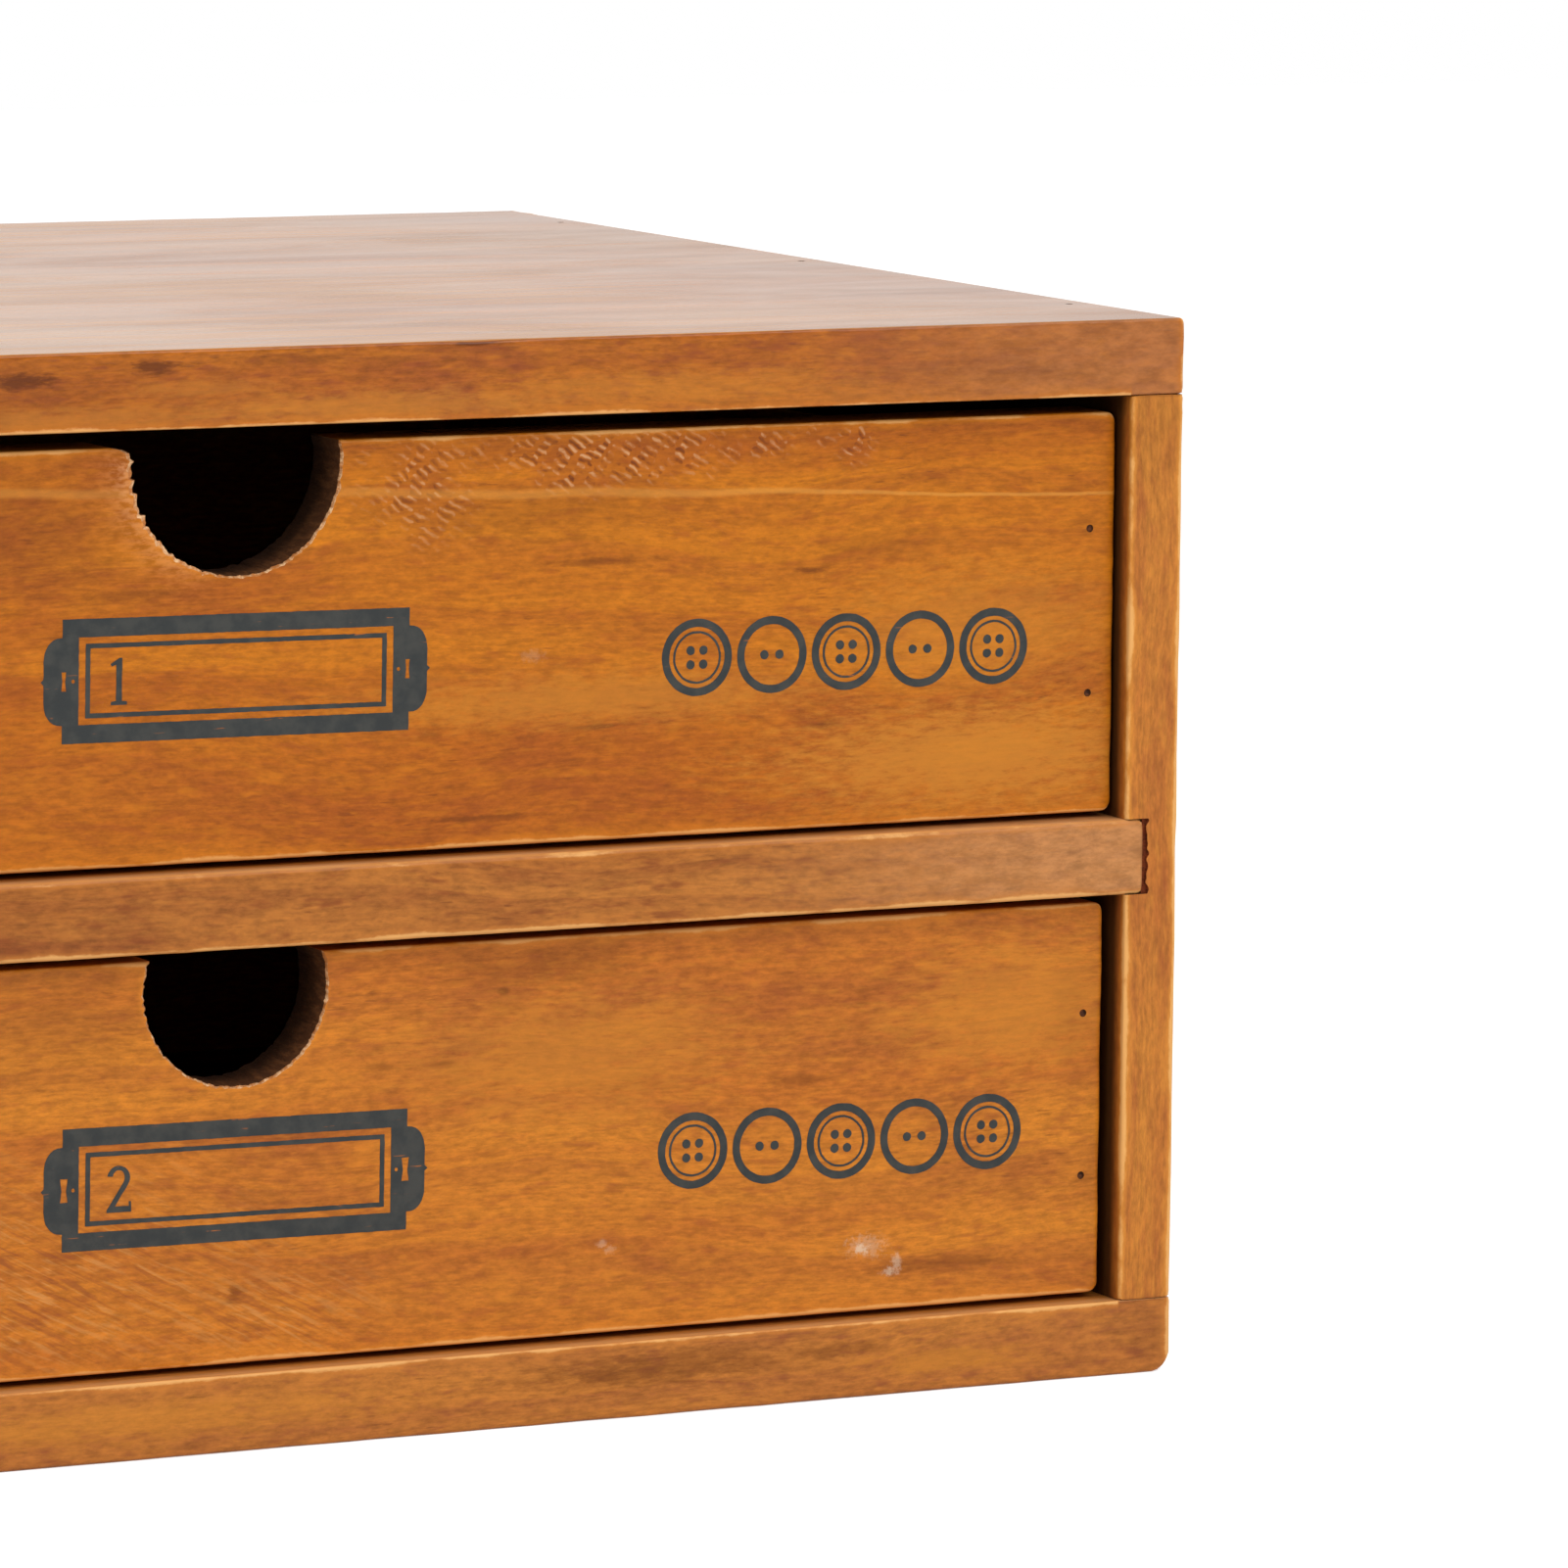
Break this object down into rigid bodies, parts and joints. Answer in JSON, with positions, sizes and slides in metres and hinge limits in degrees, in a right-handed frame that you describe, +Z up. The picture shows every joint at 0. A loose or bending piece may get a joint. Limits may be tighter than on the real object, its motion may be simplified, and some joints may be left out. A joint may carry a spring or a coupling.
{
  "type": "button storage drawers",
  "caption": "Tabletop cabinet of honey-stained wood with stacked drawers for buttons and small craft parts, each opened by a round finger notch.",
  "frame": {"origin": "middle of the footprint, on the table", "axes": "+X along the width, to the right of someone facing the drawer fronts; -Y the way the drawers open; +Z up"},
  "size_m": [0.32, 0.25, 0.168],
  "materials": {
    "cabinet_boards": "stained and lacquered",
    "drawer_fronts": "stained and lacquered, printed in dark ink",
    "drawer_boxes": "sanded, thin stain",
    "plywood": "sanded plywood",
    "brads": "dull steel"
  },
  "bodies": {
    "cabinet": {"back_panel": "plywood", "back_panel_brads": "brads", "bottom_board": "cabinet_boards", "bottom_board_brads": "brads", "left_side_board": "cabinet_boards", "right_side_board": "cabinet_boards", "shelf": "cabinet_boards", "shelf_brads": "brads", "top_board": "cabinet_boards", "top_board_brads": "brads"},
    "upper_drawer": {"upper_drawer_back": "drawer_boxes", "upper_drawer_back_brads": "brads", "upper_drawer_bottom": "plywood", "upper_drawer_bottom_brads": "brads", "upper_drawer_front": "drawer_fronts", "upper_drawer_front_brads": "brads", "upper_drawer_left_side": "drawer_boxes", "upper_drawer_right_side": "drawer_boxes"},
    "lower_drawer": {"lower_drawer_back": "drawer_boxes", "lower_drawer_back_brads": "brads", "lower_drawer_bottom": "plywood", "lower_drawer_bottom_brads": "brads", "lower_drawer_front": "drawer_fronts", "lower_drawer_front_brads": "brads", "lower_drawer_left_side": "drawer_boxes", "lower_drawer_right_side": "drawer_boxes"}
  },
  "joints": [
    {"name": "upper_drawer_slide", "type": "slide", "parent": "cabinet", "child": "upper_drawer", "axis": [0, -1, 0], "range_m": [0, 0.18]},
    {"name": "lower_drawer_slide", "type": "slide", "parent": "cabinet", "child": "lower_drawer", "axis": [0, -1, 0], "range_m": [0, 0.18]}
  ]
}
